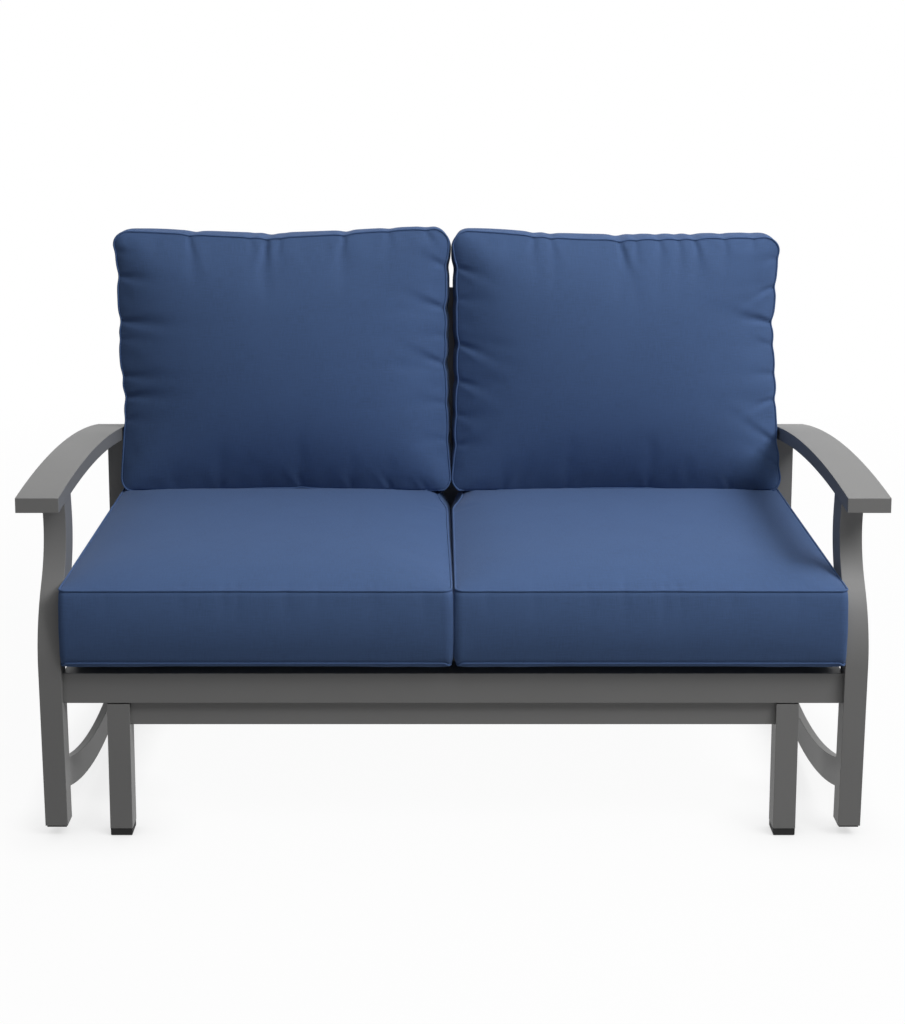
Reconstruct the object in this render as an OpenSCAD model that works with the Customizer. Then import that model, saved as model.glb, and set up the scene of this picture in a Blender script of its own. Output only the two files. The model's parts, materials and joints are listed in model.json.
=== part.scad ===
// Two-seat patio glider. A still base stands on four feet, and the seat swings from it on
// four equal, parallel links, so that it glides to and fro and stays level.
// Millimetres. The front faces -Y and +Z is up. Left and right are as seen from the front, so
// right is at +X. The origin is on the floor, in the middle of the glider's width and depth.
// Sizes that run front to back are counted from the front face of the front posts' feet.

/* [Seat frame] */
// Clear width between the two side frames
seat_w = 1212; // [1100:2:1400]
// Depth of a side frame, from the foot of the front post to the back of the rear post
frame_d = 643; // [610:1:700]
// Height of the top of the seat rails
seat_h = 268; // [262:1:290]
// Height of the seat rails
seat_rail_h = 48; // [42:1:54]
// Depth of the seat rails, front to back
seat_rail_d = 35; // [28:1:38]
// How far the front seat rail stands behind the foot of the front post
seat_rail_setback = 2; // [0:1:6]
// Wall of every frame tube
wall = 2; // [1.5:0.1:3]
// Number of slats under the seat cushions
seat_slat_count = 6; // [4:1:8]
// Width of a seat slat, front to back
seat_slat_w = 50; // [30:1:55]
// Thickness of a seat slat
seat_slat_t = 10; // [6:1:12]
// Gap between the end slats and the front and rear seat rails
seat_slat_margin = 18; // [5:1:30]
// Width of the rail under the middle of the seat
middle_rail_w = 30; // [20:1:45]
// Width of the rails under the seat's two sides
side_rail_w = 35; // [28:1:38]

/* [Posts] */
// Width of every post, side to side
post_w = 35; // [30:1:42]
// Height of the posts' lower ends above the floor
post_float = 17; // [14:1:24]
// Depth of the front post's leg
leg_d = 33; // [30:1:38]
// Depth of the front post's sloping middle
slope_d = 50; // [44:1:54]
// Depth of the front post's head, under the arm
head_d = 48; // [42:1:52]
// How far the leg's foot is set back
foot_back = 3; // [0:1:6]
// Height of the knee, where the leg turns back
knee_h = 344; // [335:1:352]
// How far the knee stands forward
knee_forward = 14; // [8:1:18]
// Height of the shoulder, where the slope turns up again
shoulder_h = 453; // [446:1:460]
// How far the shoulder is set back
shoulder_back = 65; // [55:1:75]
// How far the head is set back where it meets the arm
head_back = 50; // [44:1:56]
// Bend radius at the front of the knee
knee_r = 175; // [120:1:180]
// Bend radius at the front of the shoulder
shoulder_r = 130; // [90:1:135]
// Bend radius behind the knee
knee_back_r = 120; // [80:1:140]
// Bend radius behind the shoulder
shoulder_back_r = 150; // [100:1:170]
// Depth of the rear posts
rear_post_d = 35; // [30:1:40]
// Thickness of the plastic glide under each post
glide_t = 3; // [2:0.5:6]
// How far a glide's edge stands in from the post's face
glide_inset = 3; // [2:0.5:5]
// How far a plug reaches up into its tube
plug_len = 16; // [8:1:25]

/* [Arms] */
// Width of an arm
arm_w = 66.5; // [50:0.5:80]
// Thickness of an arm
arm_t = 23; // [18:1:28]
// Length of an arm, front to back
arm_len = 676; // [670:1:760]
// How far the front end of an arm stands behind the foot of the front post
arm_front = 4; // [0:1:20]
// How far an arm reaches in over the seat from the side frame's inner face
arm_in = 1.5; // [0:0.5:4]
// Height of the highest point of an arm
arm_crest_h = 555; // [548:1:562]
// How far back an arm's highest point lies
arm_crest_y = 192; // [150:1:240]
// Radius of an arm's bow
arm_bow_r = 2400; // [1800:10:3500]
// Thickness of the plates that close an arm's ends
arm_plate_t = 3; // [2:0.5:5]

/* [Side stretchers] */
// Thickness of a stretcher, side to side
stretcher_t = 12; // [8:1:16]
// Height of a stretcher's section
stretcher_h = 45; // [35:1:50]
// Height of the stretcher's lowest edge above the floor
stretcher_low = 22; // [18:1:30]
// Rise of the stretcher's curve from its middle to the posts
stretcher_rise = 50; // [35:1:60]

/* [Back] */
// How far the back leans
recline = 7.4; // [5:0.1:10]
// Height of the back frame, measured along its lean
back_len = 504; // [460:1:560]
// Width of a back upright
upright_w = 35; // [28:1:42]
// Depth of the back frame's tubes
back_d = 22; // [18:1:26]
// Height of the back's top rail
back_top_h = 36; // [28:1:50]
// Height of the back's lower rail
back_low_h = 30; // [25:1:45]
// Distance of the back's lower rail from the seat rail, along the lean
back_low_at = 55; // [30:1:90]
// Number of slats in the back; an odd number puts one at the middle
back_slat_count = 7; // [5:2:9]
// Width of a back slat
back_slat_w = 40; // [30:1:55]
// Thickness of a back slat
back_slat_t = 8; // [5:1:12]

/* [Base] */
// Width over the base's legs
base_w = 1078; // [1040:2:1080]
// Width and depth of a base leg
base_leg = 35; // [30:1:40]
// How far the base's legs stand in from the front and back of the side frames
base_inset = 3; // [2:1:20]
// Height of the base's rails
base_rail_h = 36; // [32:1:44]
// Width of the base's rails
base_rail_w = 25; // [22:1:30]
// How far the front and rear base rails stand in behind the legs' faces
base_rail_setback = 8; // [0:1:9]
// Gap between the top of the base and the underside of the seat rails
glide_gap = 2.4; // [1.5:0.1:6]
// Height of a rubber foot under its leg
foot_h = 12.5; // [8:0.5:20]
// How far a rubber foot's side stands in from the leg's face
foot_inset = 0.5; // [0.5:0.5:3]
// Radius of a rubber foot's lower edges
foot_round = 3; // [1:0.5:6]

/* [Swing links] */
// Distance between a link's two pivots
link_len = 134; // [110:1:140]
// Distance of the pivots from the front and back of the side frames
pivot_inset = 154; // [120:1:190]
// Width of a link's bar
link_w = 22; // [16:1:28]
// Thickness of a link's bar
link_t = 6; // [4:0.5:8]
// Outer diameter of a link's eyes
eye_d = 32; // [28:1:36]
// Length of a link's eyes along the pivot
eye_len = 9.4; // [8:0.2:9.8]
// Outer diameter of a pivot bush
bush_d = 18; // [15:1:22]
// Diameter of a pivot bolt's shoulder
shoulder_bolt_d = 10; // [8:1:12]
// Diameter of a pivot bolt's threaded end
thread_d = 8; // [6:0.5:8]
// Diameter of a pivot bolt's head
bolt_head_d = 20; // [16:1:24]
// Thickness of a pivot bolt's head
bolt_head_t = 3.5; // [2.5:0.5:4]
// Width across the corners of the nut on an upper pivot bolt
nut_d = 15; // [14:0.5:18]
// Thickness of that nut
nut_t = 6; // [4:0.5:8]
// Diameter of the washers and spacers on the pivot bolts
washer_d = 17; // [14:1:20]
// Thickness of the washer between the base and a link
washer_t = 3; // [2:0.5:4]
// Clear space between the base's side rail and a hanger plate
link_space = 18; // [17:0.5:22]
// Thickness of a hanger plate
hanger_t = 5; // [4:0.5:8]
// Width of a hanger plate
hanger_w = 36; // [32:1:44]
// How far a hanger plate's top lies below the top of the seat rail
hanger_drop = 4; // [2:1:10]

/* [Cushions] */
// Gap between the left and right cushions
cushion_split = 3; // [1:0.5:8]
// Thickness of a seat cushion at its seams
seat_pad_t = 125.5; // [100:0.5:128]
// Depth of a seat cushion
seat_pad_d = 610; // [580:1:615]
// How far a seat cushion stands forward of the front seat rail
seat_pad_over = 19; // [5:1:30]
// Height of the crown of a seat cushion over its seams
seat_pad_crown = 15; // [5:1:18]
// Thickness of a back cushion at its seams
back_pad_t = 125; // [100:1:135]
// Height of a back cushion, measured along its lean
back_pad_h = 474; // [420:1:520]
// Distance of a back cushion's lower end from the seat rail, along the lean
back_pad_at = 132; // [132:1:150]
// Swell of a back cushion's front over its seams
back_pad_crown = 14; // [5:1:20]
// Radius of a cushion's corners
pad_corner = 30; // [15:1:50]
// Softness of a cushion's edges
pad_edge = 10; // [5:1:15]
// Width of the slope from a cushion's seams up to its crown
pad_slope = 120; // [80:1:160]

/* [Fits] */
// Radial play of a pivot bolt in its bush
pivot_play = 0.05; // [0.02:0.01:0.1]
// Radial play of a bolt in a plain hole, and of a bush in its eye
hole_play = 0.1; // [0.05:0.05:0.3]
// Side play of a link's eyes
side_play = 0.3; // [0.2:0.1:0.6]
// Play of a plug in its tube
plug_play = 0.25; // [0.1:0.05:0.5]
// Space left round a cushion
pad_gap = 0.5; // [0.3:0.1:2]

/* [Hidden] */
SIDES = ["left", "right"];

// Colours
FRAME = "#5b5c5d";
BLACK = "#222324";
STEEL = "#8d9093";
CLOTH = "#3f5985";

// Faces of a circle: enough that long, shallow bows stay true
BOW_FN = 720;
BEND_FN = 180;
ROUND_FN = 48;
SOFT_FN = 32;
// Room by which a cutting shape passes the face that it cuts
PAST = 1;

// Side to side, for the right half; the left half is its mirror image
post_x = seat_w / 2;
arm_x = post_x - arm_in;
base_x = base_w / 2;
hanger_x = base_x + link_space;
side_rail_x = hanger_x + hanger_t;
eye_x = base_x + washer_t + side_play;
bolt_head_x = eye_x + eye_len + side_play;
lower_head_x = base_x + washer_t - bolt_head_t;

// Front to back
front_rail_y = seat_rail_setback;
rear_rail_y = frame_d - seat_rail_d;
rear_post_y = frame_d - rear_post_d;
base_front_y = base_inset;
base_rear_y = frame_d - base_inset - base_leg;
pivot_y = [pivot_inset, frame_d - pivot_inset];
back_y = frame_d - back_d;
seat_pad_y = front_rail_y - seat_pad_over;

// Heights
seat_rail_z = seat_h - seat_rail_h;
base_h = seat_rail_z - glide_gap;
base_rail_z = base_h - base_rail_h;
upper_pivot_z = base_rail_z + base_rail_h / 2;
lower_pivot_z = upper_pivot_z - link_len;
seat_pad_z = seat_h + seat_slat_t + pad_gap;

// The middle of the whole depth, from the cushions' front to the top of the back
rear_reach = back_y + back_d * cos(recline) + back_len * sin(recline);
middle_y = (seat_pad_y + rear_reach) / 2;

// ---- helpers -------------------------------------------------------------------------------

// Moves from the front-to-back scale of the sizes above to the origin
module placed() {
    translate([0, -middle_y, 0]) children();
}

// Draws the right-hand shape, or its mirror image for the left
module on_side(side) {
    placed() mirror([side == "left" ? 1 : 0, 0, 0]) children();
}

// A side view, drawn as [y, z], made t thick from x on
module side_view(x, t) {
    translate([x, 0, 0]) rotate([90, 0, 90]) linear_extrude(t) children();
}

// A cylinder along X, from x0 to x1
module rod(x0, x1, d, fn = ROUND_FN) {
    translate([x0, 0, 0]) rotate([0, 90, 0]) cylinder(d = d, h = x1 - x0, $fn = fn);
}

// A tube of rectangular section with its corner at the origin; open is the axis it runs along
module box_tube(size, open) {
    hole = [for (i = [0:2]) i == open ? size[i] + 2 * PAST : size[i] - 2 * wall];
    corner = [for (i = [0:2]) i == open ? -PAST : wall];
    difference() {
        cube(size);
        translate(corner) cube(hole);
    }
}

function along(a, b) = (b - a) / norm(b - a);
function turned(v) = [v[1], -v[0]];
function cross2(a, b) = a[0] * b[1] - a[1] * b[0];

// Where the line through p along u meets the line through q along v
function meet(p, u, q, v) = p + u * cross2(q - p, v) / cross2(u, v);

// A polygon whose corner i is rounded with radius radii[i]; 0 leaves it sharp.
// A corner that points out is cut back to the arc, and one that points in is filled up to it.
module rounded_polygon(points, radii) {
    n = len(points);
    function before(i) = along(points[i], points[(i + n - 1) % n]);
    function after(i) = along(points[i], points[(i + 1) % n]);
    function points_out(i) = cross2(before(i), after(i)) > 0;
    module spandrel(i) {
        half = acos(before(i) * after(i)) / 2;
        reach = radii[i] / tan(half);
        inward = along([0, 0], before(i) + after(i));
        middle = points[i] + inward * radii[i] / sin(half);
        difference() {
            polygon([
                points[i] - inward * PAST,
                points[i] + before(i) * reach,
                middle,
                points[i] + after(i) * reach
            ]);
            translate(middle) circle(r = radii[i], $fn = BEND_FN);
        }
    }
    difference() {
        union() {
            polygon(points);
            for (i = [0:n - 1]) if (radii[i] > 0 && !points_out(i)) spandrel(i);
        }
        for (i = [0:n - 1]) if (radii[i] > 0 && points_out(i)) spandrel(i);
    }
}

// ---- base ----------------------------------------------------------------------------------

module base_leg(side, y) {
    color(FRAME) on_side(side) translate([base_x - base_leg, y, foot_h]) difference() {
        cube([base_leg, base_leg, base_h - foot_h]);
        translate([wall, wall, -PAST])
            cube([base_leg - 2 * wall, base_leg - 2 * wall, base_h - foot_h - wall + PAST]);
    }
}

module base_cross_rail(y) {
    span = base_w - 2 * base_leg;
    color(FRAME) placed() translate([-span / 2, y, base_rail_z])
        box_tube([span, base_rail_w, base_rail_h], 0);
}

module base_side_rail(side) {
    span = base_rear_y - base_front_y - base_leg;
    color(FRAME) on_side(side) difference() {
        translate([base_x - base_rail_w, base_front_y + base_leg, base_rail_z])
            box_tube([base_rail_w, span, base_rail_h], 1);
        for (y = pivot_y) translate([0, y, upper_pivot_z])
            rod(base_x - base_rail_w - PAST, base_x + PAST, thread_d + 2 * hole_play);
    }
}

// A square block with its lower edges rounded, and a plug up into the leg
module rubber_feet() {
    half = base_leg / 2 - foot_inset;
    plug = base_leg - 2 * wall - 2 * plug_play;
    module block() {
        rotate([90, 0, 0]) linear_extrude(2 * half, center = true) rounded_polygon(
            [[-half, 0], [-half, foot_h], [half, foot_h], [half, 0]],
            [foot_round, 0, 0, foot_round]
        );
    }
    color(BLACK) for (side = SIDES, y = [base_front_y, base_rear_y])
        on_side(side) translate([base_x - base_leg / 2, y + base_leg / 2, 0]) {
            intersection() {
                block();
                rotate([0, 0, 90]) block();
            }
            translate([-plug / 2, -plug / 2, foot_round])
                cube([plug, plug, foot_h + plug_len - foot_round]);
        }
}

// ---- pivots --------------------------------------------------------------------------------

// The head faces the hanger plate, and the threaded end goes through the base's side rail
module upper_pivot_bolts() {
    color(STEEL) for (side = SIDES, y = pivot_y)
        on_side(side) translate([0, y, upper_pivot_z]) {
            rod(bolt_head_x, bolt_head_x + bolt_head_t, bolt_head_d);
            rod(base_x, bolt_head_x, shoulder_bolt_d);
            rod(base_x - base_rail_w - nut_t, base_x, thread_d);
        }
}

module upper_pivot_nuts() {
    color(STEEL) for (side = SIDES, y = pivot_y)
        on_side(side) translate([base_x - base_rail_w - nut_t, y, upper_pivot_z]) difference() {
            rod(0, nut_t, nut_d, 6);
            rod(-PAST, nut_t + PAST, thread_d + 2 * pivot_play);
        }
}

module ring(x0, x1, d, hole) {
    difference() {
        rod(x0, x1, d);
        rod(x0 - PAST, x1 + PAST, hole);
    }
}

module upper_pivot_washers() {
    color(STEEL) for (side = SIDES, y = pivot_y)
        on_side(side) translate([0, y, upper_pivot_z])
            ring(base_x, base_x + washer_t, washer_d, shoulder_bolt_d + 2 * hole_play);
}

// The head faces the base, and the threaded end is held by the hanger plate
module lower_pivot_bolts() {
    color(STEEL) for (side = SIDES, y = pivot_y)
        on_side(side) translate([0, y, lower_pivot_z]) {
            rod(lower_head_x, base_x + washer_t, bolt_head_d);
            rod(base_x + washer_t, hanger_x, shoulder_bolt_d);
            rod(hanger_x, side_rail_x, thread_d);
        }
}

module lower_pivot_spacers() {
    color(STEEL) for (side = SIDES, y = pivot_y)
        on_side(side) translate([0, y, lower_pivot_z])
            ring(bolt_head_x, hanger_x, washer_d, shoulder_bolt_d + 2 * hole_play);
}

module swing_link(side, y) {
    bar_x = eye_x + (eye_len - link_t) / 2;
    bore = bush_d + 2 * pivot_play;
    color(STEEL) on_side(side) difference() {
        union() {
            translate([bar_x, y - link_w / 2, lower_pivot_z]) cube([link_t, link_w, link_len]);
            for (z = [lower_pivot_z, upper_pivot_z])
                translate([0, y, z]) rod(eye_x, eye_x + eye_len, eye_d);
        }
        for (z = [lower_pivot_z, upper_pivot_z])
            translate([0, y, z]) rod(eye_x - PAST, eye_x + eye_len + PAST, bore);
    }
}

module bushes(side, y) {
    color(BLACK) on_side(side) for (z = [lower_pivot_z, upper_pivot_z])
        translate([0, y, z])
            ring(eye_x, eye_x + eye_len, bush_d, shoulder_bolt_d + 2 * pivot_play);
}

// Hangs from the inner face of the seat's side rail and carries a link's lower pivot
module hanger(side, y) {
    color(FRAME) on_side(side) difference() {
        union() {
            translate([hanger_x, y - hanger_w / 2, lower_pivot_z])
                cube([hanger_t, hanger_w, seat_h - hanger_drop - lower_pivot_z]);
            translate([0, y, lower_pivot_z]) rod(hanger_x, hanger_x + hanger_t, hanger_w);
        }
        translate([0, y, lower_pivot_z])
            rod(hanger_x - PAST, hanger_x + hanger_t + PAST, thread_d + 2 * pivot_play);
    }
}

// ---- seat frame ----------------------------------------------------------------------------

module seat_cross_rail(y) {
    color(FRAME) placed() translate([-post_x, y, seat_rail_z])
        box_tube([seat_w, seat_rail_d, seat_rail_h], 0);
}

// A rail from the front seat rail to the rear one, w wide from x on
module seat_long_rail(x, w) {
    y0 = front_rail_y + seat_rail_d;
    translate([x, y0, seat_rail_z]) box_tube([w, rear_rail_y - y0, seat_rail_h], 1);
}

module seat_side_rail(side) {
    color(FRAME) on_side(side) seat_long_rail(side_rail_x, side_rail_w);
}

module seat_middle_rail() {
    color(FRAME) placed() seat_long_rail(-middle_rail_w / 2, middle_rail_w);
}

module seat_slats() {
    half = side_rail_x + side_rail_w;
    first = front_rail_y + seat_rail_d + seat_slat_margin;
    last = rear_rail_y - seat_slat_margin - seat_slat_w;
    color(FRAME) placed() for (i = [0:seat_slat_count - 1])
        translate([-half, first + (last - first) * i / (seat_slat_count - 1), seat_h])
            cube([2 * half, seat_slat_w, seat_slat_t]);
}

// The front post's front edge as four points, moved back by d[0] along the leg, d[1] along
// the slope and d[2] along the head
function post_edge(d, z0, z1) =
    let (
        foot = [foot_back, post_float],
        knee = [-knee_forward, knee_h],
        shoulder = [shoulder_back, shoulder_h],
        head = [head_back, arm_crest_h],
        u = [along(foot, knee), along(knee, shoulder), along(shoulder, head)],
        p = [for (i = [0:2]) [foot, knee, shoulder][i] + turned(u[i]) * d[i]],
        level = [1, 0]
    )
    [
        meet(p[0], u[0], [0, z0], level),
        meet(p[0], u[0], p[1], u[1]),
        meet(p[1], u[1], p[2], u[2]),
        meet(p[2], u[2], [0, z1], level)
    ];

// The post's side view, or the hole in its tube when inset is the wall
module post_outline(inset, z0, z1) {
    front = post_edge([inset, inset, inset], z0, z1);
    back = post_edge([leg_d - inset, slope_d - inset, head_d - inset], z0, z1);
    radii = [0, knee_r - inset, shoulder_r + inset, 0,
             0, shoulder_back_r - inset, knee_back_r + inset, 0];
    rounded_polygon(concat(front, [for (i = [3:-1:0]) back[i]]), radii);
}

// Everything that lies under a bow of the arm's shape, depth below the arm's top
module under_arm(depth) {
    translate([arm_crest_y, arm_crest_h - arm_bow_r])
        circle(r = arm_bow_r - depth, $fn = BOW_FN);
}

module front_post(side) {
    color(FRAME) on_side(side) difference() {
        side_view(post_x, post_w) intersection() {
            post_outline(0, post_float, arm_crest_h);
            under_arm(arm_t);
        }
        side_view(post_x + wall, post_w - 2 * wall)
            post_outline(wall, post_float - PAST, arm_crest_h + PAST);
    }
}

module rear_post(side) {
    color(FRAME) on_side(side) difference() {
        side_view(post_x, post_w) intersection() {
            translate([rear_post_y, post_float])
                square([rear_post_d, arm_crest_h - post_float]);
            under_arm(arm_t);
        }
        translate([post_x + wall, rear_post_y + wall, 0])
            cube([post_w - 2 * wall, rear_post_d - 2 * wall, arm_crest_h]);
    }
}

// A plug in the foot of each post, with a thin pad under the tube's end
module post_glide(y, depth) {
    plug_w = post_w - 2 * wall - 2 * plug_play;
    plug_d = depth - 2 * wall - 2 * plug_play;
    translate([post_x + glide_inset, y + glide_inset, post_float - glide_t])
        cube([post_w - 2 * glide_inset, depth - 2 * glide_inset, glide_t]);
    translate([post_x + wall + plug_play, y + wall + plug_play, post_float - glide_t])
        cube([plug_w, plug_d, glide_t + plug_len]);
}

// The leg leans, so the front plug is shallower by the lean over its own length
module post_glides() {
    lean = plug_len * (foot_back + knee_forward) / (knee_h - post_float);
    color(BLACK) for (side = SIDES) on_side(side) {
        post_glide(foot_back, leg_d - lean);
        post_glide(rear_post_y, rear_post_d);
    }
}

// Half the clear depth between the posts gives the stretcher's radius from its rise
stretcher_half = (rear_post_y - leg_d - foot_back) / 2;
stretcher_r = (pow(stretcher_half, 2) + pow(stretcher_rise, 2)) / (2 * stretcher_rise);
stretcher_y = (rear_post_y + leg_d + foot_back) / 2;

// A flat bar bowed downwards, its ends cut to the posts' faces
module side_stretcher(side) {
    crown_z = stretcher_low + stretcher_h + stretcher_r;
    color(FRAME) on_side(side) side_view(post_x, stretcher_t) difference() {
        intersection() {
            translate([stretcher_y, crown_z]) difference() {
                circle(r = stretcher_r + stretcher_h, $fn = BOW_FN);
                circle(r = stretcher_r, $fn = BOW_FN);
            }
            square([rear_post_y, knee_h]);
        }
        polygon(concat(
            post_edge([leg_d, leg_d, leg_d], post_float - PAST, knee_h),
            [[-knee_h, knee_h], [-knee_h, 0]]
        ));
    }
}

// ---- arms ----------------------------------------------------------------------------------

// The bow between two depths below the arm's top, from y0 to y1
module arm_bow(top, bottom, y0, y1) {
    intersection() {
        difference() {
            under_arm(top);
            under_arm(bottom);
        }
        translate([y0, 0]) square([y1 - y0, 2 * arm_crest_h]);
    }
}

module arm(side) {
    y0 = arm_front + arm_plate_t;
    y1 = arm_front + arm_len - arm_plate_t;
    color(FRAME) on_side(side) difference() {
        side_view(arm_x, arm_w) arm_bow(0, arm_t, y0, y1);
        side_view(arm_x + wall, arm_w - 2 * wall)
            arm_bow(wall, arm_t - wall, y0 - PAST, y1 + PAST);
    }
}

module arm_end_plates() {
    y1 = arm_front + arm_len - arm_plate_t;
    color(FRAME) for (side = SIDES, y = [arm_front, y1])
        on_side(side) side_view(arm_x, arm_w) arm_bow(0, arm_t, y, y + arm_plate_t);
}

// ---- back ----------------------------------------------------------------------------------

// Stands its children on the rear seat rail and leans them back. In the children's frame
// the back frame's front face is y = 0, and z runs up along the lean.
module leaned() {
    translate([0, back_y, seat_h]) rotate([-recline, 0, 0]) children();
}

// The foot is cut level, to stand on the rail
module back_upright(side) {
    sink = back_d * tan(recline) + wall;
    color(FRAME) on_side(side) difference() {
        leaned() translate([arm_x - upright_w, 0, -sink])
            box_tube([upright_w, back_d, back_len + sink], 2);
        translate([arm_x - upright_w - PAST, back_y - 2 * back_d, seat_h - 2 * back_d])
            cube([upright_w + 2 * PAST, 4 * back_d, 2 * back_d]);
    }
}

module back_cross_rail(z, h) {
    span = 2 * (arm_x - upright_w);
    color(FRAME) placed() leaned() translate([-span / 2, 0, z]) box_tube([span, back_d, h], 0);
}

module back_slats() {
    z0 = back_low_at + back_low_h;
    z1 = back_len - back_top_h;
    pitch = 2 * (arm_x - upright_w) / (back_slat_count + 1);
    color(FRAME) placed() leaned() for (i = [1:back_slat_count])
        translate([
            upright_w - arm_x + i * pitch - back_slat_w / 2,
            (back_d - back_slat_t) / 2,
            z0
        ])
            cube([back_slat_w, back_slat_t, z1 - z0]);
}

// ---- cushions ------------------------------------------------------------------------------

// A boxed cushion with its back at z = 0 and its seams at z = t, under a crown
module pad(w, l, t, crown) {
    module layer(z, inset) {
        translate([inset, inset, z]) linear_extrude(pad_gap / 10)
            translate([pad_corner, pad_corner]) offset(r = pad_corner, $fn = SOFT_FN)
                square([w - 2 * inset - 2 * pad_corner, l - 2 * inset - 2 * pad_corner]);
    }
    hull() {
        layer(0, pad_edge);
        layer(pad_edge, 0);
        layer(t - pad_edge, 0);
        layer(t, pad_edge / 2);
        layer(t + crown, pad_slope);
    }
}

module seat_cushion(side) {
    w = post_x - pad_gap - cushion_split / 2;
    color(CLOTH) on_side(side) translate([cushion_split / 2, seat_pad_y, seat_pad_z])
        pad(w, seat_pad_d, seat_pad_t, seat_pad_crown);
}

module back_cushion(side) {
    w = arm_x - pad_gap - cushion_split / 2;
    color(CLOTH) on_side(side) leaned() translate([cushion_split / 2, -pad_gap, back_pad_at])
        rotate([90, 0, 0]) pad(w, back_pad_h, back_pad_t, back_pad_crown);
}

// ---- the whole glider ----------------------------------------------------------------------

base_leg("left", base_front_y);  // base_leg_front_left
base_leg("right", base_front_y);  // base_leg_front_right
base_leg("left", base_rear_y);  // base_leg_rear_left
base_leg("right", base_rear_y);  // base_leg_rear_right
base_cross_rail(base_front_y + base_rail_setback);  // base_front_rail
base_cross_rail(base_rear_y + base_leg - base_rail_setback - base_rail_w);  // base_rear_rail
base_side_rail("left");  // base_side_rail_left
base_side_rail("right");  // base_side_rail_right
rubber_feet();
upper_pivot_bolts();
upper_pivot_nuts();
upper_pivot_washers();
swing_link("left", pivot_y[0]);  // swing_link_front_left
swing_link("right", pivot_y[0]);  // swing_link_front_right
swing_link("left", pivot_y[1]);  // swing_link_rear_left
swing_link("right", pivot_y[1]);  // swing_link_rear_right
bushes("left", pivot_y[0]);  // bushes_front_left
bushes("right", pivot_y[0]);  // bushes_front_right
bushes("left", pivot_y[1]);  // bushes_rear_left
bushes("right", pivot_y[1]);  // bushes_rear_right
lower_pivot_bolts();
lower_pivot_spacers();
hanger("left", pivot_y[0]);  // hanger_front_left
hanger("right", pivot_y[0]);  // hanger_front_right
hanger("left", pivot_y[1]);  // hanger_rear_left
hanger("right", pivot_y[1]);  // hanger_rear_right
seat_cross_rail(front_rail_y);  // seat_front_rail
seat_cross_rail(rear_rail_y);  // seat_rear_rail
seat_side_rail("left");  // seat_side_rail_left
seat_side_rail("right");  // seat_side_rail_right
seat_middle_rail();
seat_slats();
front_post("left");  // front_post_left
front_post("right");  // front_post_right
rear_post("left");  // rear_post_left
rear_post("right");  // rear_post_right
post_glides();
side_stretcher("left");  // side_stretcher_left
side_stretcher("right");  // side_stretcher_right
arm("left");  // arm_left
arm("right");  // arm_right
arm_end_plates();
back_upright("left");  // back_upright_left
back_upright("right");  // back_upright_right
back_cross_rail(back_len - back_top_h, back_top_h);  // back_top_rail
back_cross_rail(back_low_at, back_low_h);  // back_low_rail
back_slats();
seat_cushion("left");  // seat_cushion_left
seat_cushion("right");  // seat_cushion_right
back_cushion("left");  // back_cushion_left
back_cushion("right");  // back_cushion_right
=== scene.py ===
import json
import math

import bpy
import numpy as np
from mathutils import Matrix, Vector


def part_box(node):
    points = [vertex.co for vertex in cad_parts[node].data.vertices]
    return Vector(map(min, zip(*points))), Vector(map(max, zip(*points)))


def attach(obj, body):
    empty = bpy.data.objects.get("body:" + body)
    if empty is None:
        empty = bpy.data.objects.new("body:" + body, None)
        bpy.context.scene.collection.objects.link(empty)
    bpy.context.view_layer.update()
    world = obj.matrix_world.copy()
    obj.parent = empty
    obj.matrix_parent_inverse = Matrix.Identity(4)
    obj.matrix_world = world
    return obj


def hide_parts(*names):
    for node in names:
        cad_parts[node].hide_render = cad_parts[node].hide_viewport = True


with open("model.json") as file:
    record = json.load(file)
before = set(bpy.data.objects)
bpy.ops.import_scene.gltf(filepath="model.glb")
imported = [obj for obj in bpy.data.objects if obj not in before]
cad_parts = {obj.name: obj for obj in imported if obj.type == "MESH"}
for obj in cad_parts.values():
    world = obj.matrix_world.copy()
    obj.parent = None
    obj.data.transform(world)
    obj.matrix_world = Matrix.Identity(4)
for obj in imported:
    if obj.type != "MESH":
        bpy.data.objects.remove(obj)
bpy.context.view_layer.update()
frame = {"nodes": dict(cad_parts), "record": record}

# Metres throughout, in the CAD model's frame: +X is to the right seen from the front, the front
# faces -Y and +Z is up.

# ---- camera and light ------------------------------------------------------------------------

# Pitched a little, which keeps the lens shift small enough for the views from other sides
CAMERA_PLACE = (-0.0230, -2.9889, 1.2887)
CAMERA_PITCH = 8.549
CAMERA_LENS = 70.92
CAMERA_SHIFT = (0.0158, -0.26)

# How bright a white surface that faces nothing but the lamp or the sky would render
SKY_LEVEL = 0.09
LAMPS = {
    # name: (place, aimed at, size, level at the aim)
    "key": ((2.97, -2.2, 3.88), (0.0, 0.1, 0.5), 1.9, 0.56),
    "side": ((2.4, -0.2, 2.6), (0.0, 0.1, 0.5), 1.4, 0.23),
    "behind": ((0.3, 1.4, 3.2), (0.0, 0.1, 0.4), 2.0, 0.21),
    "above": ((0.4, -1.2, 2.3), (0.0, 0.1, 0.5), 1.0, 0.20),
}
FLOOR_HALF = 30.0
# The floor's grey where it throws light back on the object, and where it is seen
FLOOR_LIT = (0.26, 0.30)
FLOOR_SEEN = 0.78
# How much of the lit floor shows through its white near the middle, over which distances that
# fades, and how much more of it shows close to the object
FLOOR_SHADE = 0.04
FLOOR_FADE = (1.2, 3.0)
CONTACT_REACH = 0.10
CONTACT_SHADE = 0.5

# ---- colours and cloth -----------------------------------------------------------------------

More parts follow.
